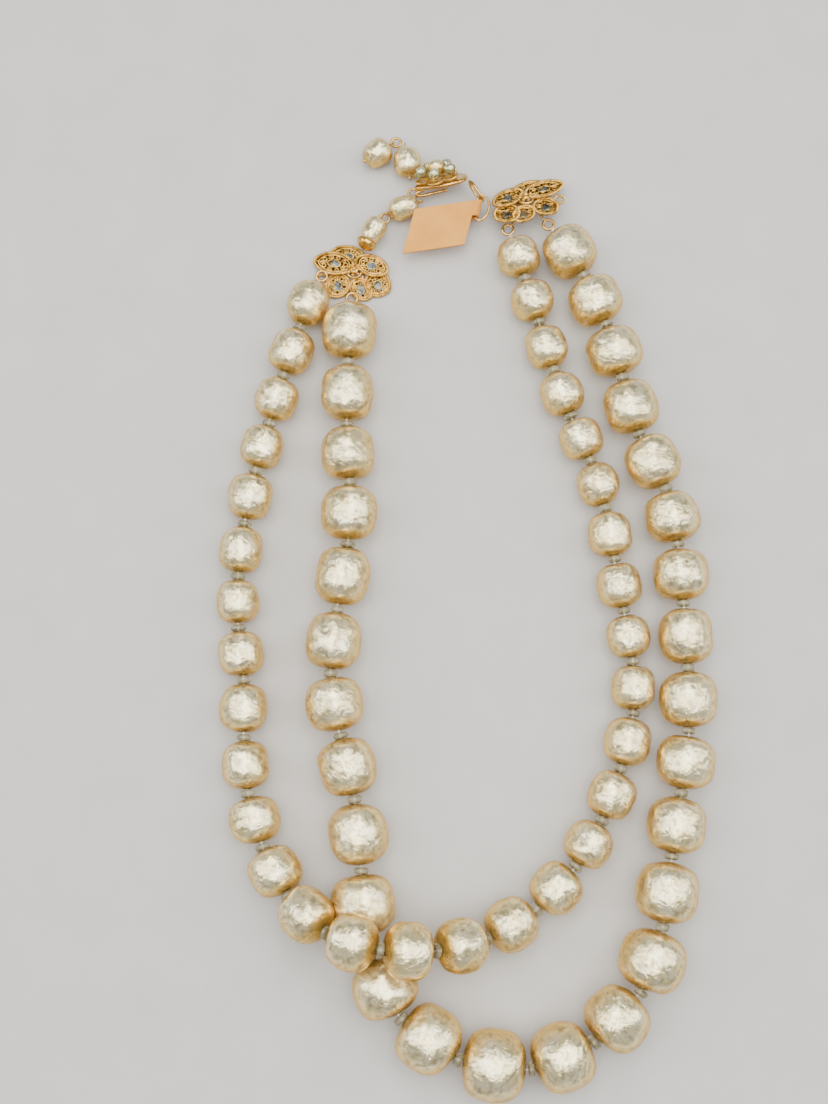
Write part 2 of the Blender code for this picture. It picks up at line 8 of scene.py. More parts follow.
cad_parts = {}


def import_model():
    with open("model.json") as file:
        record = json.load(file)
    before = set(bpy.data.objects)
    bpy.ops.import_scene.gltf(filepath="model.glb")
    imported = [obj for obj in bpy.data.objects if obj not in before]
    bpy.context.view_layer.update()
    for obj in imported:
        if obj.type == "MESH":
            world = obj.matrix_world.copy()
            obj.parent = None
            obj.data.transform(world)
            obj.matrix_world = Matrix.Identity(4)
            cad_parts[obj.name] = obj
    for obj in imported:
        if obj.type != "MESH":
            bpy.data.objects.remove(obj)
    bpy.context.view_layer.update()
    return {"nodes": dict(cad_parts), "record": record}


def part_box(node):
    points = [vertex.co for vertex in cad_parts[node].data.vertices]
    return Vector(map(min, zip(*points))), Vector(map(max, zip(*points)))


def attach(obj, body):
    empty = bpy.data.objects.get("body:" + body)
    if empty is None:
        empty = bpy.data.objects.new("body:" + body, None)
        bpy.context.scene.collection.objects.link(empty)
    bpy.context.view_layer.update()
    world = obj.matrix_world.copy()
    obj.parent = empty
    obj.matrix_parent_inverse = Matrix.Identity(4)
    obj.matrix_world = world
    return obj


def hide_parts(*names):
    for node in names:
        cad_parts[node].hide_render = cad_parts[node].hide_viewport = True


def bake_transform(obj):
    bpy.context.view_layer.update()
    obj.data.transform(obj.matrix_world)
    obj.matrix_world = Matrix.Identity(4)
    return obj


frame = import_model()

MM = 0.001
LAYOUT_MIDDLE = np.array((9.9, -7.2, 0.0))

# The threads of the two strands, as x, y and lift, from the left filigree to the right one.
INNER_ROUTE = (
    (-0.0198, 0.0574, 0.0000),
    (-0.0224, 0.0500, 0.0000),
    (-0.0274, 0.0330, 0.0000),
    (-0.0324, 0.0135, 0.0000),
    (-0.0350, -0.0080, 0.0000),
    (-0.0332, -0.0280, 0.0000),
    (-0.0328, -0.0430, 0.0000),
    (-0.0304, -0.0540, 0.0000),
    (-0.0264, -0.0635, 0.0008),
    (-0.0204, -0.0714, 0.0040),
    (-0.0116, -0.0760, 0.0101),
    (-0.0004, -0.0774, 0.0091),
    (0.0100, -0.0766, 0.0038),
    (0.0200, -0.0724, 0.0000),
    (0.0280, -0.0654, 0.0000),
    (0.0350, -0.0556, 0.0000),
    (0.0414, -0.0390, 0.0000),
    (0.0430, -0.0250, 0.0000),
    (0.0404, -0.0070, 0.0000),
    (0.0372, 0.0130, 0.0000),
    (0.0298, 0.0325, 0.0000),
    (0.0246, 0.0515, 0.0000),
    (0.0201, 0.0672, 0.0000),
)
OUTER_ROUTE = (
    (-0.0130, 0.0524, 0.0000),
    (-0.0132, 0.0440, 0.0000),
    (-0.0136, 0.0210, 0.0000),
    (-0.0126, 0.0060, 0.0000),
    (-0.0152, -0.0130, 0.0000),
    (-0.0162, -0.0290, 0.0000),
    (-0.0126, -0.0435, 0.0000),
    (-0.0102, -0.0580, 0.0000),
    (-0.0098, -0.0700, 0.0000),
    (-0.0062, -0.0844, 0.0000),
    (0.0030, -0.0944, 0.0000),
    (0.0152, -0.0988, 0.0000),
    (0.0280, -0.0972, 0.0000),
    (0.0386, -0.0892, 0.0000),
    (0.0454, -0.0786, 0.0000),
    (0.0492, -0.0590, 0.0000),
    (0.0532, -0.0360, 0.0000),
    (0.0532, -0.0170, 0.0000),
    (0.0524, 0.0000, 0.0000),
    (0.0506, 0.0110, 0.0000),
    (0.0448, 0.0250, 0.0000),
    (0.0406, 0.0420, 0.0000),
    (0.0365, 0.0542, 0.0000),
    (0.0289, 0.0685, 0.0000),
)
ROUTE_STEPS = 24

# Pearl sizes, as in the part.
STRANDS = {
    "inner": dict(route=INNER_ROUTE, count=31, diameter=8.9, growth=1.8, taper=0.05),
    "outer": dict(route=OUTER_ROUTE, count=28, diameter=11.2, growth=1.8, taper=0.09),
}
CROSSING_AFTER = 10
CROSSING_SLACK = 3.2
GROWTH_PEAK = 0.46
GROWTH_SPREAD = 0.15
LENGTH_GROWTH = 0.35
WIDTH_VARIATION = 0.02
LENGTH_VARIATION = 0.045
WIDTH_WAVE = 4.3
LENGTH_WAVE = 7.9
SPACER_LENGTH = 1.7
SPACER_INSET = 0.18
WRAP_LENGTH = 1.6
WRAP_CLEARANCE = 0.3
LEFT_END_HEIGHT = 1.5
RIGHT_END_HEIGHT = 3.0

# Fine surface of a pearl: shape of its barrel, mesh size, and depths of lumps and creases.
PEARL_FULLNESS = 2.7
PEARL_RINGS = 52
PEARL_SIDES = 84
HOLE_RADIUS = 0.62
LUMP_DEPTH = 0.22
CREASE_DEPTH = 0.1
CREASE_SCALE = 0.5
CREASE_WIDTH = 0.1
DENT_DEPTH = 0.22

# Filigrees, clasp and tag, as in the part.
LEFT_PLATE = np.array((-13.0, 59.6, 0.0))
RIGHT_PLATE = np.array((24.2, 74.4, 2.9))
RIGHT_TURN = math.radians(12)
RIGHT_TILT = math.radians(-26)
CLASP_CENTRE = np.array((5.0, 79.0, 4.5))
CLASP_TURN = math.radians(14)
CLASP_LEAN = math.radians(-48)
HOOK_LENGTH = 11.4
HOOK_WIDTH = 6.0
HOOK_NARROWING = 0.35
HOOK_SHIFT = 0.6
EXTENDER_TURNS = (62, 20, 97, 215)
EXTENDER_HALVES = ((3.1, 2.8), (3.2, 2.6), (3.1, 3.0), (3.1, 3.0))
SEED_RADIUS = 1.25
SEED_RING = 3.2
LINK_TURN = math.radians(-14)
CLASP_RING_TURN = math.radians(-57)
EYE_TIE_REACH = 3.2


# ---------------------------------------------------------------- materials


def new_material(name):
    """Empty Principled material, its shader and a function that adds nodes to it."""
    material = bpy.data.materials.new(name)
    material.use_nodes = True
    tree = material.node_tree
    shader = tree.nodes["Principled BSDF"]

    def node(kind, **settings):
        """Add a node; settings named in_... go to its sockets."""
        made = tree.nodes.new(kind)
        for key, value in settings.items():
            if key.startswith("in_"):
                made.inputs[key[3:].replace("_", " ")].default_value = value
            else:
                setattr(made, key, value)
        return made

    return material, shader, node, tree.links.new


def colour_ramp(node, link, source, stops):
    """Colour ramp fed by a value, with stops as position and colour."""
    ramp = node("ShaderNodeValToRGB")
    elements = ramp.color_ramp.elements
    while len(elements) < len(stops):
        elements.new(0.5)
    for element, (position, colour) in zip(elements, stops):
        element.position = position
        element.color = (*colour, 1.0)
    link(source, ramp.inputs["Fac"])
    return ramp.outputs["Color"]


def mixed(node, link, factor, first, second, blend="MIX"):
    """Mix of two colours by a value; each colour is a socket or a plain colour."""
    mix = node("ShaderNodeMix", data_type="RGBA", blend_type=blend)
    if isinstance(factor, (int, float)):
        mix.inputs[0].default_value = factor
    else:
        link(factor, mix.inputs[0])
    for index, colour in ((6, first), (7, second)):
        if isinstance(colour, tuple):
            mix.inputs[index].default_value = (*colour, 1.0)
        else:
            link(colour, mix.inputs[index])
    return mix.outputs[2]


def noise_value(node, link, place, scale, detail=3.0, roughness=0.55, distortion=0.0):
    """Noise texture's value at a scale per metre."""
    texture = node("ShaderNodeTexNoise")
    texture.inputs["Scale"].default_value = scale
    texture.inputs["Detail"].default_value = detail
    texture.inputs["Roughness"].default_value = roughness
    texture.inputs["Distortion"].default_value = distortion
    link(place, texture.inputs["Vector"])
    return texture.outputs["Fac"]


def bumped(node, link, shader, height, distance, strength=1.0, before=None):
    """Bump on the shader from a height value, over an earlier bump if there is one."""
    bump = node("ShaderNodeBump")
    bump.inputs["Distance"].default_value = distance
    bump.inputs["Strength"].default_value = strength
    link(height, bump.inputs["Height"])
    if before is not None:
        link(before, bump.inputs["Normal"])
    link(bump.outputs["Normal"], shader.inputs["Normal"])
    return bump.outputs["Normal"]


def pearl_material(name, body, top, side, hole, crease_shade):
    """Wrinkled nacre: pale on top, with painted shade that is warm on the sides, amber at the hole
    ends and dark in the creases.
    """
    material, shader, node, link = new_material(name)
    place = node("ShaderNodeTexCoord").outputs["Object"]
    # Painted shade: the side colour is laid where the surface turns sideways and down, so only the
    # top stays pale.
    rim_shade_value = node("ShaderNodeAttribute", attribute_name="side").outputs["Fac"]
    # Painted shade: dark amber laid on the hole ends, where the pearl narrows between its
    # neighbours.
    hole_shade_value = node("ShaderNodeAttribute", attribute_name="hole").outputs["Fac"]
    # Painted shade: darker colour laid in the creases.
    crease_shade_value = node("ShaderNodeAttribute", attribute_name="crease").outputs["Fac"]
    patches = noise_value(node, link, place, 420, 4.0, 0.6)
    mottle = colour_ramp(node, link, patches, ((0.36, body), (0.66, top)))
    stops = ((0.08, (0, 0, 0)), (0.20, (0.4, 0.4, 0.4)), (0.34, (1, 1, 1)))
    sides = colour_ramp(node, link, rim_shade_value, stops)
    rim_shaded = mixed(node, link, sides, mottle, side)
    hole_shade_mask = colour_ramp(node, link, hole_shade_value, ((0.86, (0, 0, 0)), (1.0, (0.8, 0.8, 0.8))))
    hole_shaded = mixed(node, link, hole_shade_mask, rim_shaded, hole)
    crease_shaded = mixed(node, link, crease_shade_value, hole_shaded, crease_shade)
    link(crease_shaded, shader.inputs["Base Color"])
    shine = noise_value(node, link, place, 900, 3.0)
    rough = node("ShaderNodeMapRange")
    rough.inputs["To Min"].default_value = 0.10
    rough.inputs["To Max"].default_value = 0.26
    link(shine, rough.inputs["Value"])
    link(rough.outputs["Result"], shader.inputs["Roughness"])
    shader.inputs["Metallic"].default_value = 0.72
    shader.inputs["Specular Tint"].default_value = (1.0, 0.72, 0.4, 1.0)
    shader.inputs["Coat Weight"].default_value = 0.35
    shader.inputs["Coat Roughness"].default_value = 0.05
    shader.inputs["Coat IOR"].default_value = 1.5
    shader.inputs["Subsurface Weight"].default_value = 0.12
    shader.inputs["Subsurface Radius"].default_value = (1.0, 0.55, 0.25)
    shader.inputs["Subsurface Scale"].default_value = 0.0012
    wrinkle = noise_value(node, link, place, 620, 4.0, 0.55, 1.2)
    coarse = bumped(node, link, shader, wrinkle, 0.00042, 0.5)
    grain = noise_value(node, link, place, 2600, 2.0)
    bumped(node, link, shader, grain, 0.00006, 0.25, coarse)
    return material


def gold_material(name, bright, dark, roughness=0.28):
    """Antique gold, darker in patches and with fine casting grain."""
    material, shader, node, link = new_material(name)
    place = node("ShaderNodeTexCoord").outputs["Object"]
    patches = noise_value(node, link, place, 700, 4.0, 0.65)
    colour = colour_ramp(node, link, patches, ((0.32, dark), (0.56, bright)))
    link(colour, shader.inputs["Base Color"])
    shader.inputs["Metallic"].default_value = 1.0
    rough = node("ShaderNodeMapRange")
    rough.inputs["To Min"].default_value = roughness + 0.18
    rough.inputs["To Max"].default_value = roughness - 0.08
    link(patches, rough.inputs["Value"])
    link(rough.outputs["Result"], shader.inputs["Roughness"])
    grain = noise_value(node, link, place, 3800, 3.0)
    bumped(node, link, shader, grain, 0.00008, 0.6)
    return material


def bead_material():
    """Clear greyish glass of the seed beads."""
    material, shader, node, link = new_material("seed_bead_glass")
    place = node("ShaderNodeTexCoord").outputs["Object"]
    patches = noise_value(node, link, place, 600, 3.0)
    colour = colour_ramp(
        node, link, patches, ((0.3, (0.34, 0.31, 0.19)), (0.7, (0.60, 0.56, 0.40)))
    )
    link(colour, shader.inputs["Base Color"])
    shader.inputs["Roughness"].default_value = 0.08
    shader.inputs["Transmission Weight"].default_value = 0.7
    shader.inputs["IOR"].default_value = 1.5
    shader.inputs["Subsurface Weight"].default_value = 0.3
    shader.inputs["Subsurface Radius"].default_value = (1.0, 0.9, 0.4)
    shader.inputs["Subsurface Scale"].default_value = 0.001
    grain = noise_value(node, link, place, 1800, 2.0)
    bumped(node, link, shader, grain, 0.0001, 0.5)
    return material


def thread_material():
    """Silvery grey twisted thread and wire."""
    material, shader, node, link = new_material("silver_thread")
    place = node("ShaderNodeTexCoord").outputs["Object"]
    patches = noise_value(node, link, place, 1500, 4.0)
    colour = colour_ramp(
        node, link, patches, ((0.35, (0.42, 0.38, 0.30)), (0.65, (0.82, 0.79, 0.70)))
    )
    link(colour, shader.inputs["Base Color"])
    shader.inputs["Metallic"].default_value = 0.5
    shader.inputs["Roughness"].default_value = 0.35
    bumped(node, link, shader, patches, 0.00008, 0.6)
    return material


def solder_material():
    """Grey-blue worn solder in the middle of the petals."""
    material, shader, node, link = new_material("old_solder")
    place = node("ShaderNodeTexCoord").outputs["Object"]
    patches = noise_value(node, link, place, 900, 4.0)
    stops = ((0.38, (0.05, 0.055, 0.055)), (0.54, (0.15, 0.17, 0.17)), (0.66, (0.45, 0.30, 0.10)))
    link(colour_ramp(node, link, patches, stops), shader.inputs["Base Color"])
    shader.inputs["Metallic"].default_value = 0.9
    shader.inputs["Roughness"].default_value = 0.42
    bumped(node, link, shader, patches, 0.0002, 0.8)
    return material


def paper_material():
    """Matt salmon card with faint fibres and lighter flecks."""
    material, shader, node, link = new_material("salmon_card")
    place = node("ShaderNodeTexCoord").outputs["Object"]
    fibres = noise_value(node, link, place, 1400, 6.0, 0.7)
    cloud = noise_value(node, link, place, 160, 3.0)
    base = colour_ramp(
        node, link, cloud, ((0.3, (0.66, 0.27, 0.045)), (0.7, (0.74, 0.34, 0.07)))
    )
    fleck = colour_ramp(node, link, fibres, ((0.55, (0, 0, 0)), (0.8, (0.35, 0.35, 0.35))))
    link(mixed(node, link, fleck, base, (0.78, 0.45, 0.16)), shader.inputs["Base Color"])
    shader.inputs["Roughness"].default_value = 0.78
    shader.inputs["Specular IOR Level"].default_value = 0.15
    bumped(node, link, shader, fibres, 0.00006, 0.5)
    return material


def floor_material():
    """Plain pale studio floor."""
    material, shader, node, link = new_material("studio_floor")
    place = node("ShaderNodeTexCoord").outputs["Object"]
    grain = noise_value(node, link, place, 90, 3.0)
    colour = colour_ramp(
        node, link, grain, ((0.3, (0.50, 0.49, 0.47)), (0.7, (0.53, 0.52, 0.50)))
    )
    link(colour, shader.inputs["Base Color"])
    shader.inputs["Roughness"].default_value = 0.9
    return material


PEARL = pearl_material(
    "baroque_pearl",
    body=(0.88, 0.75, 0.38),
    top=(0.96, 0.88, 0.60),
    # Painted shade colour for the sides and underside.
    side=(0.82, 0.55, 0.14),
    # Painted shade colour for the hole ends.
    hole=(0.46, 0.30, 0.06),
    # Painted shade colour for the creases.
    crease_shade=(0.30, 0.24, 0.12),
)
SEED_PEARL = pearl_material(
    "green_seed_pearl",
    body=(0.62, 0.64, 0.44),
    top=(0.84, 0.86, 0.71),
    # Painted shade colour for the sides and underside.
    side=(0.44, 0.44, 0.20),
    # Painted shade colour for the hole ends.
    hole=(0.18, 0.15, 0.06),
    # Painted shade colour for the creases.
    crease_shade=(0.26, 0.26, 0.16),
)
GOLD = gold_material("antique_gold", (0.88, 0.56, 0.13), (0.30, 0.14, 0.02), 0.24)
# Near-black gold for the petal backs: painted shade in the recesses under the open work.
RECESS_SHADE = gold_material("painted_recess_shade", (0.16, 0.085, 0.02), (0.05, 0.025, 0.006), 0.45)
SMOOTH_GOLD = gold_material("plain_gold", (0.74, 0.46, 0.13), (0.46, 0.25, 0.06), 0.2)
GLASS = bead_material()
THREAD = thread_material()
SOLDER = solder_material()
CARD = paper_material()
FLOOR = floor_material()


# ------------------------------------------------------------ shape helpers


class Shape:
    """Points, faces and point values of one piece, gathered part by part in millimetres."""

    def __init__(self):
        self.points = []
        self.faces = []
        self.values = {}
        self.count = 0

    def add(self, points, faces, **values):
        """Add a part; values are numbers for its points, one array each."""
        for corners in faces:
            self.faces.append([corner + self.count for corner in corners])
        self.points.append(np.asarray(points, float))
        for name, numbers in values.items():
            self.values.setdefault(name, []).append(np.asarray(numbers, float))
        self.count += len(points)

    def placed(self, place, turn=None):
        """The shape turned by a 3 by 3 matrix, then moved to a place."""
        moved = Shape()
        turn = np.identity(3) if turn is None else np.array(turn)
        moved.points = [points @ turn.T + np.asarray(place) for points in self.points]
        moved.faces = self.faces
        moved.values = self.values
        moved.count = self.count
        return moved


def make_piece(name, shape, material, body, replaces=(), layout=True):
    """Turn a shape into an object that rides on a body, if named, and stands for CAD nodes."""
    points = np.vstack(shape.points)
    if layout:
        points = points - LAYOUT_MIDDLE
    mesh = bpy.data.meshes.new(name)
    mesh.from_pydata(points * MM, [], shape.faces)
    for key, numbers in shape.values.items():
        layer = mesh.attributes.new(key, "FLOAT", "POINT")
        layer.data.foreach_set("value", np.concatenate(numbers).astype(np.float32))
    mesh.shade_smooth()
    mesh.materials.append(material)
    piece = bpy.data.objects.new(name, mesh)
    bpy.context.scene.collection.objects.link(piece)
    if body:
        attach(piece, body)
    if replaces:
        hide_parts(*replaces)
    return piece


def unit(vector):
    """Vector of length one."""
    return vector / np.linalg.norm(vector)


def grid_faces(rings, sides, closed=False):
    """Quads between rings of points, and caps at the ends unless the rings close on themselves."""
    faces = []
    for ring in range(rings if closed else rings - 1):
        low = ring * sides
        high = (ring + 1) % rings * sides
        for side in range(sides):
            beside = (side + 1) % sides
            faces.append((low + beside, high + beside, high + side, low + side))
    if not closed:
        faces.append(tuple(range(sides))[::-1])
        faces.append(tuple(range((rings - 1) * sides, rings * sides)))
    return faces


def path_frames(path, closed):
    """Unit direction, side and up of a path at each of its points, without twist."""
    if closed:
        ahead = np.roll(path, -1, axis=0) - np.roll(path, 1, axis=0)
    else:
        ahead = np.gradient(path, axis=0)
    ahead = ahead / np.linalg.norm(ahead, axis=1)[:, None]
    start = np.array((0.0, 0.0, 1.0))
    if abs(ahead[0][2]) > 0.9:
        start = np.array((1.0, 0.0, 0.0))
    sides = []
    side = unit(np.cross(start, ahead[0]))
    for direction in ahead:
        side = unit(side - direction * (side @ direction))
        sides.append(side)
    sides = np.array(sides)
    return ahead, sides, np.cross(ahead, sides)


def tube(path, radius, sides=8, closed=False, flat=1.0):
    """Round or flattened tube along a path; the radius may differ from point to point."""
    path = np.asarray(path, float)
    _, side, up = path_frames(path, closed)
    radii = np.broadcast_to(np.asarray(radius, float), (len(path),))[:, None, None]
    angles = np.linspace(0, math.tau, sides, endpoint=False)[None, :, None]
    rings = path[:, None, :] + radii * (
        np.cos(angles) * side[:, None, :] + flat * np.sin(angles) * up[:, None, :]
    )
    return rings.reshape(-1, 3), grid_faces(len(path), sides, closed)


def resampled(path, spacing, closed):
    """The path with points at an even spacing."""
    path = np.asarray(path, float)
    if closed:
        path = np.vstack([path, path[:1]])
    run = np.concatenate([[0.0], np.cumsum(np.linalg.norm(np.diff(path, axis=0), axis=1))])
    count = max(4, int(round(run[-1] / spacing)))
    places = np.linspace(0.0, run[-1], count, endpoint=not closed)
    even = np.column_stack([np.interp(places, run, path[:, axis]) for axis in range(3)])
    return even, places, run[-1]


def add_rope(shape, path, radius, pitch, closed=True):
    """Add two wires twisted round each other along a path."""
    even, places, length = resampled(path, pitch / 8.0, closed)
    _, side, up = path_frames(even, closed)
    turns = max(1, round(length / pitch))
    for wire in range(2):
        angle = (math.tau * turns * places / length + math.pi * wire)[:, None]
        shift = (np.cos(angle) * side + np.sin(angle) * up) * radius * 0.5
        shape.add(*tube(even + shift, radius * 0.56, 5, closed))


def ring_path(centre, radius, steps=20, turn=None, flat=1.0):
    """Circle or ellipse round a centre, in the XY plane unless it is turned."""
    angles = np.linspace(0, math.tau, steps, endpoint=False)
    path = np.column_stack(
        [radius * np.cos(angles), radius * flat * np.sin(angles), np.zeros(steps)]
    )
    if turn is not None:
        path = path @ np.array(turn).T
    return path + np.asarray(centre, float)


def turned_body(profile, sides, centre, turn, ripples=0, ripple_depth=0.0):
    """Body turned round the local X axis from distance and radius pairs, fluted if asked."""
    angles = np.linspace(0, math.tau, sides, endpoint=False)
    swell = 1.0 + ripple_depth * np.cos(ripples * angles)
    rings = []
    for distance, radius in profile:
        across = radius * swell
        ring = np.column_stack([np.full(sides, distance), across * np.cos(angles),
                                across * np.sin(angles)])
        rings.append(ring)
    points = np.vstack(rings) @ np.array(turn).T + np.asarray(centre, float)
    return points, grid_faces(len(profile), sides)


def turn_z(angle):
    """Rotation about Z."""
    return Matrix.Rotation(angle, 3, "Z")


def node_middle(node):
    """Middle of a CAD node in layout millimetres."""
    low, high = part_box(node)
    return (np.array(low) + np.array(high)) / 2.0 / MM + LAYOUT_MIDDLE


# ------------------------------------------------------------------ strands


def smooth_route(points):
    """Smooth curve through the route: its samples in millimetres and the run at each one."""
    knots = np.array(points, float) / MM
    padded = np.vstack([2 * knots[0] - knots[1], knots, 2 * knots[-1] - knots[-2]])
    samples = []
    for before, start, end, after in zip(padded, padded[1:], padded[2:], padded[3:]):
        for part in np.linspace(0.0, 1.0, ROUTE_STEPS, endpoint=False):
            linear = (end - before) * part
            square = (2 * before - 5 * start + 4 * end - after) * part**2
            cube = (3 * start - before - 3 * end + after) * part**3
            samples.append(0.5 * (2 * start + linear + square + cube))
    samples.append(knots[-1])
    path = np.array(samples)
    run = np.concatenate([[0.0], np.cumsum(np.linalg.norm(np.diff(path, axis=0), axis=1))])
    return path, run


def strand_pearls(strand):
    """Sizes and places of a strand's pearls, and its thread's point at a length, as in the part."""
    facts = STRANDS[strand]
    count, diameter, growth = facts["count"], facts["diameter"], facts["growth"]
    path, run = smooth_route(facts["route"])
    pearls = []
    for number in range(1, count + 1):
        position = (number - 0.5) / count
        swell = math.exp(-(((position - GROWTH_PEAK) / GROWTH_SPREAD) ** 2))
        width = diameter + growth * swell
        width *= 1.0 + WIDTH_VARIATION * math.sin(WIDTH_WAVE * number + count)
        length = diameter + growth * LENGTH_GROWTH * swell
        length *= 1.0 + facts["taper"] * (0.5 - position)
        length *= 1.0 + LENGTH_VARIATION * math.sin(LENGTH_WAVE * number + 2.0 * count)
        pearls.append({"number": number, "radius": width / 2.0, "length": length})
    slack = CROSSING_SLACK if strand == "outer" else 0.0
    free = run[-1] - 2.0 * WRAP_LENGTH - (count - 1) * SPACER_LENGTH - slack
    stretch = free / sum(pearl["length"] for pearl in pearls)
    place = WRAP_LENGTH
    for pearl in pearls:
        pearl["start"] = place
        pearl["end"] = place + pearl["length"] * stretch
        pearl["middle"] = (pearl["start"] + pearl["end"]) / 2.0
        place = pearl["end"] + SPACER_LENGTH
        if strand == "outer" and pearl["number"] == CROSSING_AFTER:
            place += slack
    lengths = [0.0, pearls[0]["start"]]
    heights = [LEFT_END_HEIGHT, pearls[0]["radius"]]
    for pearl in pearls:
        lengths.append(pearl["middle"])
        heights.append(pearl["radius"])
    lengths += [pearls[-1]["end"], run[-1]]
    heights += [pearls[-1]["radius"], RIGHT_END_HEIGHT]

    def point(length):
        """Point of the thread at a length along it."""
        x, y, lift = (float(np.interp(length, run, path[:, axis])) for axis in range(3))
        return np.array((x, y, lift + float(np.interp(length, lengths, heights))))

    return pearls, point


def pearl_axes(along):
    """Matrix whose X is the hole's direction and whose Z is as upright as it can be."""
    side = unit(np.cross((0.0, 0.0, 1.0), along))
    return np.column_stack([along, side, np.cross(along, side)])


def add_pearl(shape, centre, axes, half, radius, seed, rings=PEARL_RINGS, sides=PEARL_SIDES,
              hole_radius=HOLE_RADIUS, pear=0.0):
    """Add one wrinkled baroque pearl with its drill hole along local X."""
    rng = np.random.default_rng(seed)
    phases = rng.uniform(0, math.tau, 4)
    taper = rng.uniform(-0.035, 0.035) + pear
    oval = rng.uniform(0.0, 0.03)
    lean = rng.uniform(-0.02, 0.02)
    angles = np.linspace(0, math.tau, sides, endpoint=False)
    stations = -np.cos(np.pi * np.arange(rings + 1) / rings)
    offset = rng.uniform(-60, 60, 3)
    points = []
    rim_shade_values = []
    hole_shade_values = []
    crease_shade_values = []
    smallest = hole_radius / radius
    for station in stations:
        full = max(0.0, 1.0 - abs(station) ** PEARL_FULLNESS) ** (1.0 / PEARL_FULLNESS)
        full = max(full, smallest) * (1.0 + taper * station)
        near_hole = min(1.0, max(0.0, (full - smallest) / 0.35))
        for angle in angles:
            wide = 1.0 + oval * math.cos(2 * angle + phases[0])
            wide += 0.012 * math.cos(3 * angle + phases[1] + 2.0 * station)
            across = radius * full * wide * 0.985
            local = Vector((half * station, across * math.cos(angle), across * math.sin(angle)))
            sample = local + Vector(offset)
            lump = noise.noise(sample * 0.34)
            bend = noise.noise_vector(sample * 0.5) * 0.7
            near = noise.voronoi(sample * CREASE_SCALE + bend)[0]
            edge = near[1] - near[0]
            crease = math.exp(-((edge / CREASE_WIDTH) ** 2))
            crease *= min(1.0, max(0.0, 0.75 + 1.6 * noise.noise(sample * 0.7)))
            dent = max(0.0, 0.5 - near[0])
            depth = LUMP_DEPTH * (lump - 0.35) - CREASE_DEPTH * crease - DENT_DEPTH * dent
            depth *= near_hole
            slope = abs(station) ** (PEARL_FULLNESS - 1.0) / half
            rise = full ** (PEARL_FULLNESS - 1.0) / radius
            outward = Vector((math.copysign(slope, station), rise * math.cos(angle),
                              rise * math.sin(angle)))
            outward.normalize()
            local += outward * depth
            local.y += lean * radius * station * station
            points.append(local)
            # Painted shade mask: grows as the surface turns from up to sideways and down.
            rim_shade_values.append(0.5 - 0.5 * outward.z)
            # Painted shade mask: highest at the hole ends.
            hole_shade_values.append(abs(station) + 0.04 * lump)
            # Painted shade mask: follows the creases carved into the surface.
            crease_shade_values.append(0.75 * crease * near_hole)
    placed = np.array(points) @ axes.T + centre
    shape.add(placed, grid_faces(rings + 1, sides), side=rim_shade_values, hole=hole_shade_values,
              crease=crease_shade_values)


def add_seed_bead(shape, point, start, end, seed):
    """Add one round glass bead with a hole end at each side, a little off the thread's line."""
    rng = np.random.default_rng(seed)
    along = unit(point(end) - point(start))
    axes = pearl_axes(along)
    middle = point((start + end) / 2.0) + axes[:, 1] * rng.uniform(-0.12, 0.12)
    half = (end - start) / 2.0
    width = rng.uniform(1.35, 1.55)
    profile = []
    for step in range(13):
        angle = math.pi * step / 12
        radius = 0.62 + (width - 0.62) * math.sin(angle) ** 0.7
        profile.append((-half * math.cos(angle), radius))
    profile.insert(0, (-half * 0.7, 0.35))
    profile.append((half * 0.7, 0.35))
    points, faces = turned_body(profile, 22, middle, axes)
    for index, place in enumerate(points):
        shift = noise.noise(Vector(place) * 1.3) * 0.09
        points[index] = place + unit(place - middle) * shift
    shape.add(points, faces)


def add_wrap(shape, point, start, end):
    """Add the coils of fine wire that tie a strand end, round a core."""
    core_start, core_end = point(start), point(end)
    shape.add(*tube(np.linspace(core_start, core_end, 6), 0.3, 10))
    axes = pearl_axes(unit(core_end - core_start))
    length = np.linalg.norm(core_end - core_start)
    turns = 5
    steps = turns * 14
    angles = np.linspace(0, math.tau * turns, steps)
    local = np.column_stack([np.linspace(0.12, length - 0.12, steps), 0.38 * np.cos(angles),
                             0.38 * np.sin(angles)])
    shape.add(*tube(local @ axes.T + core_start, 0.14, 6))


def thread_path(point, start, end):
    """Short stretch of thread between two lengths."""
    return np.array([point(length) for length in np.linspace(start, end, 6)])


def world(place):
    """World place, in metres, of a layout point."""
    return tuple((np.asarray(place) - LAYOUT_MIDDLE) * MM)


def group_of(node):
    """Strand and first and last pearl number of a strand node."""
    words = node.split("_")
    return words[0], int(words[2]), int(words[-1])


def body_with(node):
    """Name of the body that a CAD node belongs to."""
    for body, nodes in frame["record"]["behaviour"]["bodies"].items():
        if node in nodes:
            return body
    raise ValueError(node)


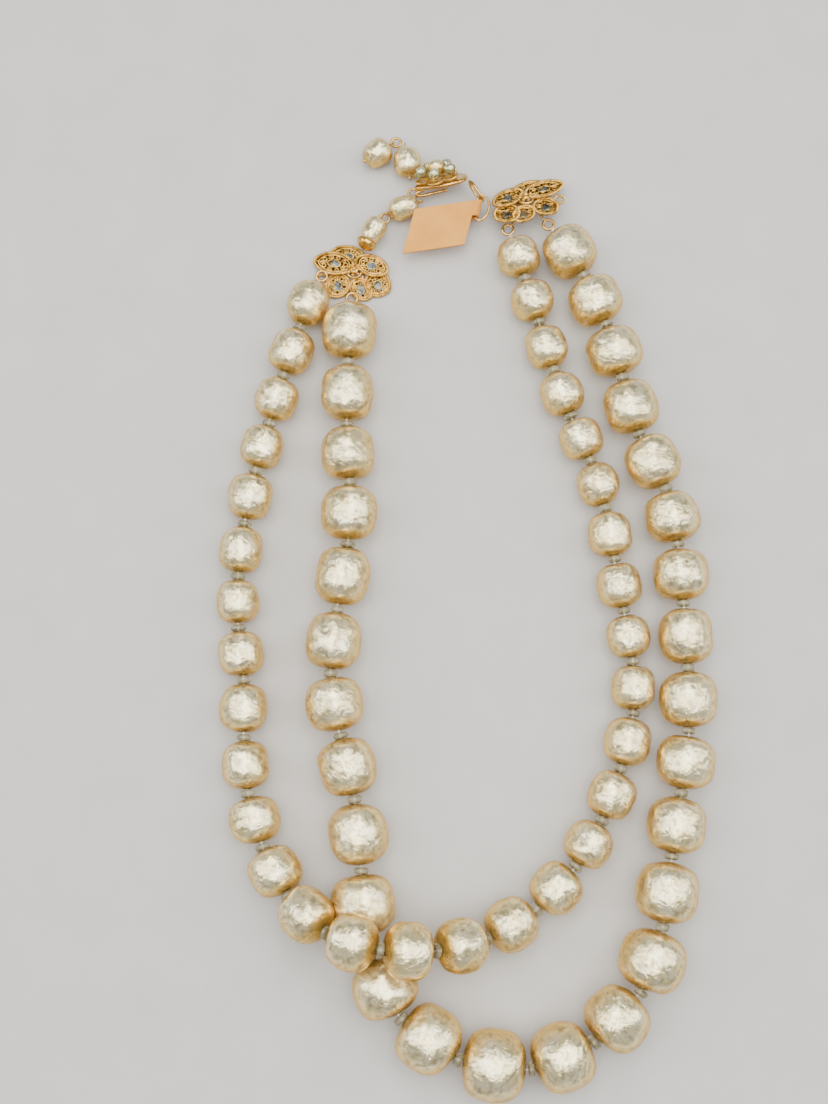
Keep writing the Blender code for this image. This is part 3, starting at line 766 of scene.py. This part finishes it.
def build_strand(strand):
    """Add the pearls, glass beads, wraps and thread of one strand."""
    pearls, point = strand_pearls(strand)
    count = len(pearls)
    groups = [node for node in frame["nodes"] if node.startswith(f"{strand}_pearl")]
    groups.sort(key=group_of)
    body_before = None
    for node in groups:
        _, first, last = group_of(node)
        body = body_with(node)
        skins, beads, wraps, threads = Shape(), Shape(), Shape(), Shape()
        for number in range(first, last + 1):
            pearl = pearls[number - 1]
            start, end = point(pearl["start"]), point(pearl["end"])
            middle = (start + end) / 2.0
            middle[2] = point(pearl["middle"])[2]
            half = np.linalg.norm(end - start) / 2.0
            seed = number + (100 if strand == "outer" else 0)
            add_pearl(skins, middle, pearl_axes(unit(end - start)), half, pearl["radius"], seed)
            if number == 1:
                add_wrap(wraps, point, WRAP_CLEARANCE, pearl["start"] + 0.3)
                continue
            before = pearls[number - 2]["end"]
            bead_end = pearl["start"] - 0.05
            bead_start = before + 0.12 if number > first else before + 0.42
            add_seed_bead(beads, point, bead_start, bead_end, seed)
            if number == first and body_before != body:
                crossing = Shape()
                crossing.add(*tube(thread_path(point, before - 0.4, pearl["start"] + 0.4), 0.24))
                name = f"{strand}_thread_{number - 1:02d}_{number:02d}"
                piece = make_piece(name, crossing, THREAD, None)
                near, far = world(point(before)), world(point(bead_start))
                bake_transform(piece)
            else:
                threads.add(*tube(thread_path(point, before - 0.4, pearl["start"] + 0.4), 0.24))
        if last == count:
            end = pearls[-1]["end"]
            add_wrap(wraps, point, end - 0.3, end + SPACER_INSET + WRAP_LENGTH - WRAP_CLEARANCE)
        make_piece(f"{node}_skin", skins, PEARL, body, (node,))
        if beads.points:
            make_piece(f"{node}_beads", beads, GLASS, body)
        if wraps.points:
            make_piece(f"{node}_wrap", wraps, THREAD, body)
        if threads.points:
            make_piece(f"{node}_thread", threads, THREAD, body)
        body_before = body


build_strand("inner")
build_strand("outer")


# ---------------------------------------------------------------- filigrees

# Petals of one filigree as centre, half sizes, turn in degrees and height, lower layer first.
PETALS_LOW = (
    ((-3.0, -2.6), (2.7, 2.4), 60, 0.45),
    ((2.0, -3.45), (2.6, 2.1), -50, 0.45),
    ((5.4, -2.4), (2.7, 2.6), -30, 0.5),
    ((-0.9, 4.0), (3.6, 2.1), -12, 0.45),
)
PETALS_HIGH = (
    ((-3.8, 2.0), (4.1, 2.3), -8, 1.35),
    ((4.2, 1.5), (3.5, 2.1), -22, 1.3),
)
POINTED = 0.28
PETAL_STEPS = 44


def petal_path(size, turn, height, centre, shrink=1.0, steps=PETAL_STEPS):
    """Outline of a petal with a slightly pointed outer end, cupped a little."""
    angles = np.linspace(0, math.tau, steps, endpoint=False)
    x = size[0] * shrink * np.cos(angles)
    y = size[1] * shrink * np.sin(angles) * (1.0 - POINTED * np.clip(np.cos(angles), 0, 1) ** 3)
    z = height + 0.22 * (shrink - 0.6) * np.ones(steps)
    outward = math.atan2(centre[1], centre[0])
    axis = math.radians(turn)
    if math.cos(axis - outward) < 0:
        axis += math.pi
    turned_x = x * math.cos(axis) - y * math.sin(axis)
    turned_y = x * math.sin(axis) + y * math.cos(axis)
    return np.column_stack([turned_x + centre[0], turned_y + centre[1], z])


def add_petal(shape, patches, centre, size, turn, height, seed):
    """Add one petal: rope border, plain inner rim, a row of loops and a worn solder patch."""
    rng = np.random.default_rng(seed)
    border = petal_path(size, turn, height, centre)
    add_rope(shape, border, 0.36, 0.95)
    inner = petal_path(size, turn, height, centre, 0.80)
    shape.add(*tube(inner, 0.15, 6, True))
    loops = petal_path(size, turn, height - 0.02, centre, 0.60, 10)
    for place in loops:
        radius = rng.uniform(0.34, 0.46)
        shape.add(*tube(ring_path(place, radius, 12), 0.12, 5, True))
    core = petal_path(size, turn, height + 0.05, centre, 0.34, 20)
    shape.add(*tube(core, 0.14, 6, True))
    for step in range(0, 20, 4):
        spoke = np.linspace(core[step], petal_path(size, turn, height, centre, 0.97, 20)[step], 5)
        spoke[:, 2] += 0.08 * np.sin(np.linspace(0, math.pi, 5))
        shape.add(*tube(spoke, 0.13, 5))
    middle = np.array((centre[0], centre[1], height + 0.03))
    profile = [(-0.12, 0.5), (-0.04, 1.0), (0.03, 1.1), (0.08, 0.8), (0.1, 0.3)]
    upright = Matrix.Rotation(math.radians(-90), 3, "Y")
    points, faces = turned_body(profile, 18, middle, upright)
    for index, place in enumerate(points):
        push = 1.0 + 0.9 * noise.noise(Vector(place) * 0.9 + Vector((seed * 3.7, 0, 0)))
        points[index][:2] = middle[:2] + (place[:2] - middle[:2]) * push
        points[index][2] += 0.1 * noise.noise(Vector(place) * 2.2)
    patches.add(points, faces)


def add_recess_shade(shape, centre, size, turn, height):
    """Add the thin dished back of one petal, which the open work lies over and which carries the
    dark painted shade of the recess.
    """
    rings = [petal_path(size, turn, height + down, centre, share, PETAL_STEPS)
             for share, down in ((0.9, -0.3), (0.95, -0.2), (0.5, -0.25), (0.15, -0.26))]
    points = np.array(rings).reshape(-1, 3)
    shape.add(points, grid_faces(len(rings), PETAL_STEPS))


def granule(shape, place, radius):
    """Add one small cast ball."""
    steps = [(-math.cos(math.pi * k / 6) * radius, max(0.02, math.sin(math.pi * k / 6) * radius))
             for k in range(7)]
    shape.add(*turned_body(steps, 10, place, np.identity(3)))


def build_filigree(side, plate, turn):
    """Add one filigree end as lower petals, upper petals and a granulated boss."""
    body = f"{side}_filigree"
    mirror = np.diag((1.0 if side == "left" else -1.0, 1.0, 1.0))
    low, high, boss, patches, shade_backs = Shape(), Shape(), Shape(), Shape(), Shape()
    for centre, size, angle, height in (*PETALS_LOW, *PETALS_HIGH):
        add_recess_shade(shade_backs, centre, size, angle, height)
    for index, (centre, size, angle, height) in enumerate(PETALS_LOW):
        add_petal(low, patches, centre, size, angle, height, index + 1)
    for index, (centre, size, angle, height) in enumerate(PETALS_HIGH):
        add_petal(high, patches, centre, size, angle, height, index + 11)
    add_rope(low, ring_path((-6.2, -1.4, 0.6), 1.15, 24), 0.3, 0.8)
    low.add(*tube(ring_path((0.4, 0.2, 0.35), 2.0, 30), 0.3, 8, True))
    for step in range(6):
        angle = math.tau * step / 6 + 0.3
        start = np.array((0.4 + 1.8 * math.cos(angle), 0.2 + 1.8 * math.sin(angle), 0.35))
        end = np.array((0.4 + 3.4 * math.cos(angle), 0.2 + 2.6 * math.sin(angle), 0.4))
        low.add(*tube(np.linspace(start, end, 4), 0.22, 6))
    high.add(*tube(ring_path((0.5, 0.4, 1.1), 1.5, 24), 0.22, 8, True))
    profile = [(0.0, 0.7), (0.5, 1.0), (0.85, 0.8), (1.05, 0.35)]
    upright = Matrix.Rotation(math.radians(-90), 3, "Y")
    boss.add(*turned_body(profile, 20, (0.5, 0.5, 0.9), upright, 5, 0.1))
    for step in range(7):
        angle = math.tau * step / 7
        granule(boss, (0.5 + 1.25 * math.cos(angle), 0.5 + 1.25 * math.sin(angle), 1.6), 0.36)
    granule(boss, (0.5, 0.5, 2.1), 0.5)
    matrix = np.array(turn) @ mirror
    names = (
        ("base", low, GOLD, (f"{side}_filigree_base",)),
        ("leaves", high, GOLD, (f"{side}_filigree_petals",)),
        ("boss", boss, GOLD, (f"{side}_filigree_rivet",)),
        ("solder", patches, SOLDER, ()),
        # The petal backs are dark painted shade under the open work.
        ("shade_backs", shade_backs, RECESS_SHADE, ()),
    )
    for word, shape, material, replaced in names:
        if side == "right":
            shape.faces = [face[::-1] for face in shape.faces]
        piece = shape.placed(plate, matrix)
        make_piece(f"{side}_fine_{word}", piece, material, body, replaced)


build_filigree("left", LEFT_PLATE, np.identity(3))
lean = turn_z(RIGHT_TURN) @ Matrix.Rotation(RIGHT_TILT, 3, "X")
build_filigree("right", RIGHT_PLATE, lean)


# ------------------------------------------------------------ rings and eyes


def build_ring(node, body, radius, wire, turn=None, flat=1.0):
    """Replace a faceted ring with a smooth closed one."""
    shape = Shape()
    shape.add(*tube(ring_path(node_middle(node), radius, 40, turn, flat), wire, 12, True))
    make_piece(f"{node}_wire", shape, SMOOTH_GOLD, body, (node,))


def build_eye_tie(strand):
    """Add the short wire that ties one eye to the raised edge of the right filigree."""
    eye = node_middle(f"right_{strand}_eye")
    way = unit(node_middle("right_filigree_base") - eye)
    shape = Shape()
    shape.add(*tube(np.linspace(eye + way * 1.0, eye + way * EYE_TIE_REACH, 6), 0.24, 8))
    make_piece(f"right_{strand}_eye_tie", shape, SMOOTH_GOLD, "right_filigree")


for side in ("left", "right"):
    for strand in ("inner", "outer"):
        build_ring(f"{side}_{strand}_eye", f"{side}_filigree", 1.1, 0.32)
for strand in ("inner", "outer"):
    build_eye_tie(strand)
for number in (1, 2, 3):
    build_ring(f"extender_link_{number}", f"extender_{number}", 1.0, 0.29)
upright_ring = turn_z(CLASP_RING_TURN) @ Matrix.Rotation(math.radians(90), 3, "X")
build_ring("clasp_ring", "clasp", 2.53, 0.32, upright_ring, 1.4 / 2.53)
build_ring("clasp_link", "clasp_link", 1.6, 0.28, turn_z(LINK_TURN), 2.8 / 1.6)


# ----------------------------------------------------------------- extender


def build_extender():
    """Add the extender's pearls, their eye pins and the bead cap."""
    for number in range(1, 5):
        centre = node_middle(f"extender_pearl_{number}")
        turn = np.array(turn_z(math.radians(EXTENDER_TURNS[number - 1])))
        half, radius = EXTENDER_HALVES[number - 1]
        body = f"extender_{number}"
        skin = Shape()
        pear = 0.16 if number == 1 else 0.0
        add_pearl(skin, centre, turn, half, radius * (1.0 - pear), 200 + number, 40, 60, 0.5, pear)
        name = f"extender_pearl_{number}"
        make_piece(f"{name}_skin", skin, PEARL, body, (name,))
        pins = Shape()
        for way in (-1.0, 1.0):
            if way > 0 and number == 4:
                continue
            if way < 0 and number == 1:
                continue
            along = turn @ np.array((way, 0.0, 0.0))
            start = centre + along * (half - 0.5)
            neck = centre + along * (half + 0.25)
            pins.add(*tube(np.linspace(start, neck, 4), 0.18, 8))
            loop_turn = np.array(turn) @ np.array(Matrix.Rotation(math.radians(90), 3, "X"))
            loop = ring_path(centre + along * (half + 0.65), 0.42, 22, loop_turn)
            pins.add(*tube(loop, 0.17, 8, True))
        if number == 1:
            along = turn @ np.array((-1.0, 0.0, 0.0))
            start = centre + along * (half + 0.6)
            pins.add(*tube(np.linspace(start, centre + along * (half + 1.5), 4), 0.25, 8))
        if number == 4:
            along = turn @ np.array((1.0, 0.0, 0.0))
            granule(pins, centre + along * (half + 0.1), 0.42)
        make_piece(f"{name}_pin", pins, SMOOTH_GOLD, body)
    cap = Shape()
    turn = np.array(turn_z(math.radians(EXTENDER_TURNS[0])))
    centre = node_middle("extender_pearl_1")
    half = EXTENDER_HALVES[0][0]
    base = centre + turn @ np.array((-half - 0.9, 0.0, 0.0))
    profile = ((-0.5, 0.35), (-0.35, 0.8), (-0.05, 1.45), (0.45, 1.9), (1.15, 2.2),
               (1.2, 2.1), (0.6, 1.7), (0.2, 1.0), (0.1, 0.4))
    cap.add(*turned_body(profile, 48, base, turn, 12, 0.035))
    make_piece("extender_fluted_cap", cap, GOLD, "extender_1",
               ("extender_bead_cap",))


build_extender()


# -------------------------------------------------------------------- clasp


def build_clasp():
    """Add the hook plate, the flower, its wired pearls and the bent hook behind the plate."""
    turn = np.array(turn_z(CLASP_TURN) @ Matrix.Rotation(CLASP_LEAN, 3, "X"))
    plate = Shape()
    rings = []
    for height, share in ((0.0, 0.93), (0.12, 1.0), (0.62, 1.0), (0.8, 0.95), (0.8, 0.6),
                          (0.72, 0.2)):
        ring = []
        for angle in np.linspace(0, math.tau, 48, endpoint=False):
            half = HOOK_WIDTH / 2 * (1.0 + HOOK_NARROWING * math.cos(angle))
            x = HOOK_SHIFT + HOOK_LENGTH / 2 * math.cos(angle) * share
            ring.append((x, half * math.sin(angle) * share, height))
        rings.append(ring)
    points = np.array(rings).reshape(-1, 3)
    points[:, 2] -= 1.1
    plate.add(points, grid_faces(len(rings), 48))
    make_piece("clasp_hook_plate", plate.placed(CLASP_CENTRE, turn), SMOOTH_GOLD,
               "clasp", ("clasp_hook",))
    flower, patches = Shape(), Shape()
    for step in range(5):
        angle = math.tau * (step + 0.5) / 5
        place = (3.0 * math.cos(angle), 2.5 * math.sin(angle))
        border = ring_path((*place, 0.35), 1.45, 26)
        add_rope(flower, border, 0.3, 0.85)
        flower.add(*tube(ring_path((*place, 0.3), 0.9, 18), 0.14, 6, True))
        for spoke in range(5):
            way = math.tau * spoke / 5 + angle
            start = (place[0] + 0.85 * math.cos(way), place[1] + 0.85 * math.sin(way), 0.3)
            end = (place[0] + 1.4 * math.cos(way), place[1] + 1.4 * math.sin(way), 0.3)
            flower.add(*tube(np.linspace(start, end, 3), 0.14, 5))
    flower.add(*tube(ring_path((0, 0, 0.3), 1.5, 28), 0.28, 8, True))
    make_piece("clasp_flower", flower.placed(CLASP_CENTRE, turn), GOLD, "clasp",
               ("clasp_filigree",))
    middle = node_middle("clasp_centre_pearl")
    pearl = Shape()
    add_pearl(pearl, middle, turn, 1.7, 1.7, 301, 30, 44, 0.3)
    make_piece("clasp_centre_skin", pearl, PEARL, "clasp", ("clasp_centre_pearl",))
    wires = Shape()
    for number in range(1, 6):
        angle = math.tau * (number - 0.5) / 5
        spin = turn @ np.array(turn_z(angle))
        centre = node_middle(f"clasp_seed_pearl_{number}")
        skin = Shape()
        add_pearl(skin, centre, spin, SEED_RADIUS, SEED_RADIUS, 310 + number, 24, 36, 0.22)
        make_piece(f"clasp_seed_skin_{number}", skin, SEED_PEARL, "clasp",
                   (f"clasp_seed_pearl_{number}",))
        for way in (-1.0, 1.0):
            bend = []
            for share in np.linspace(0.0, 1.0, 7):
                out = way * (SEED_RADIUS - 0.1 + 0.45 * math.sin(share * math.pi / 2))
                down = -1.4 * (1.0 - math.cos(share * math.pi / 2))
                bend.append(spin @ np.array((out, 0.0, down)) + centre)
            wires.add(*tube(np.array(bend), 0.14, 6))
    make_piece("clasp_pearl_wires", wires, GOLD, "clasp")
    hook = Shape()
    bend = []
    for share in np.linspace(0.0, 1.0, 26):
        angle = math.pi * share
        bend.append((-3.4 - 1.6 * math.sin(angle), 0.0, -1.5 - 0.55 * (1.0 - math.cos(angle))))
    straight = [(-3.4 + 5.0 * share, 0.0, -2.6) for share in np.linspace(0.08, 1.0, 8)]
    hook.add(*tube(np.array(bend + straight), 0.36, 10))
    make_piece("clasp_bent_hook", hook.placed(CLASP_CENTRE, turn), SMOOTH_GOLD,
               "clasp")


build_clasp()


# ---------------------------------------------------------------------- tag


def finish_node(node, material):
    """Give a CAD node that stays the material of its surface."""
    piece = frame["nodes"][node]
    piece.data.materials.clear()
    piece.data.materials.append(material)


finish_node("price_tag", CARD)


# ---------------------------------------------------------- stage and lights


def add_floor():
    """Add the pale floor just below the necklace."""
    mesh = bpy.data.meshes.new("floor")
    reach = 1.6
    corners = [(-reach, -reach, 0), (reach, -reach, 0), (reach, reach, 0), (-reach, reach, 0)]
    mesh.from_pydata(corners, [], [(0, 1, 2, 3)])
    mesh.materials.append(FLOOR)
    floor = bpy.data.objects.new("floor", mesh)
    floor.location = (0, 0, -0.0001)
    bpy.context.scene.collection.objects.link(floor)


def add_light(name, place, aim, size, power, colour):
    """Add one soft rectangular light; places in metres."""
    lamp = bpy.data.lights.new(name, "AREA")
    lamp.shape = "RECTANGLE"
    lamp.size, lamp.size_y = size
    lamp.energy = power
    lamp.color = colour
    light = bpy.data.objects.new(name, lamp)
    light.location = place
    way = Vector(aim) - Vector(place)
    light.rotation_euler = way.to_track_quat("-Z", "Y").to_euler()
    bpy.context.scene.collection.objects.link(light)


def add_camera():
    """Add the camera, looking down steeply at the lying necklace."""
    lens = bpy.data.cameras.new("camera")
    lens.sensor_width = 36.0
    lens.lens = 48.9
    lens.clip_start = 0.01
    camera = bpy.data.objects.new("camera", lens)
    camera.location = (-0.0099, -0.0558, 0.2964)
    camera.rotation_euler = (math.radians(12), 0, 0)
    bpy.context.scene.collection.objects.link(camera)
    bpy.context.scene.camera = camera


def add_world():
    """Soft neutral surroundings."""
    world_light = bpy.data.worlds.new("studio")
    world_light.use_nodes = True
    background = world_light.node_tree.nodes["Background"]
    background.inputs["Color"].default_value = (0.78, 0.80, 0.84, 1.0)
    background.inputs["Strength"].default_value = 0.25
    bpy.context.scene.world = world_light


add_floor()
add_light("window_middle", (0.0, 0.03, 0.55), (0.0, 0.0, 0.0), (0.27, 1.0), 4.2, (1.0, 0.99, 0.97))
add_light("window_left", (-0.53, 0.03, 0.55), (-0.2, 0.0, 0.0), (0.55, 1.0), 6.6, (1.0, 0.99, 0.97))
add_light("window_right", (0.53, 0.03, 0.55), (0.2, 0.0, 0.0), (0.55, 1.0), 6.6, (1.0, 0.99, 0.97))
add_camera()
add_world()
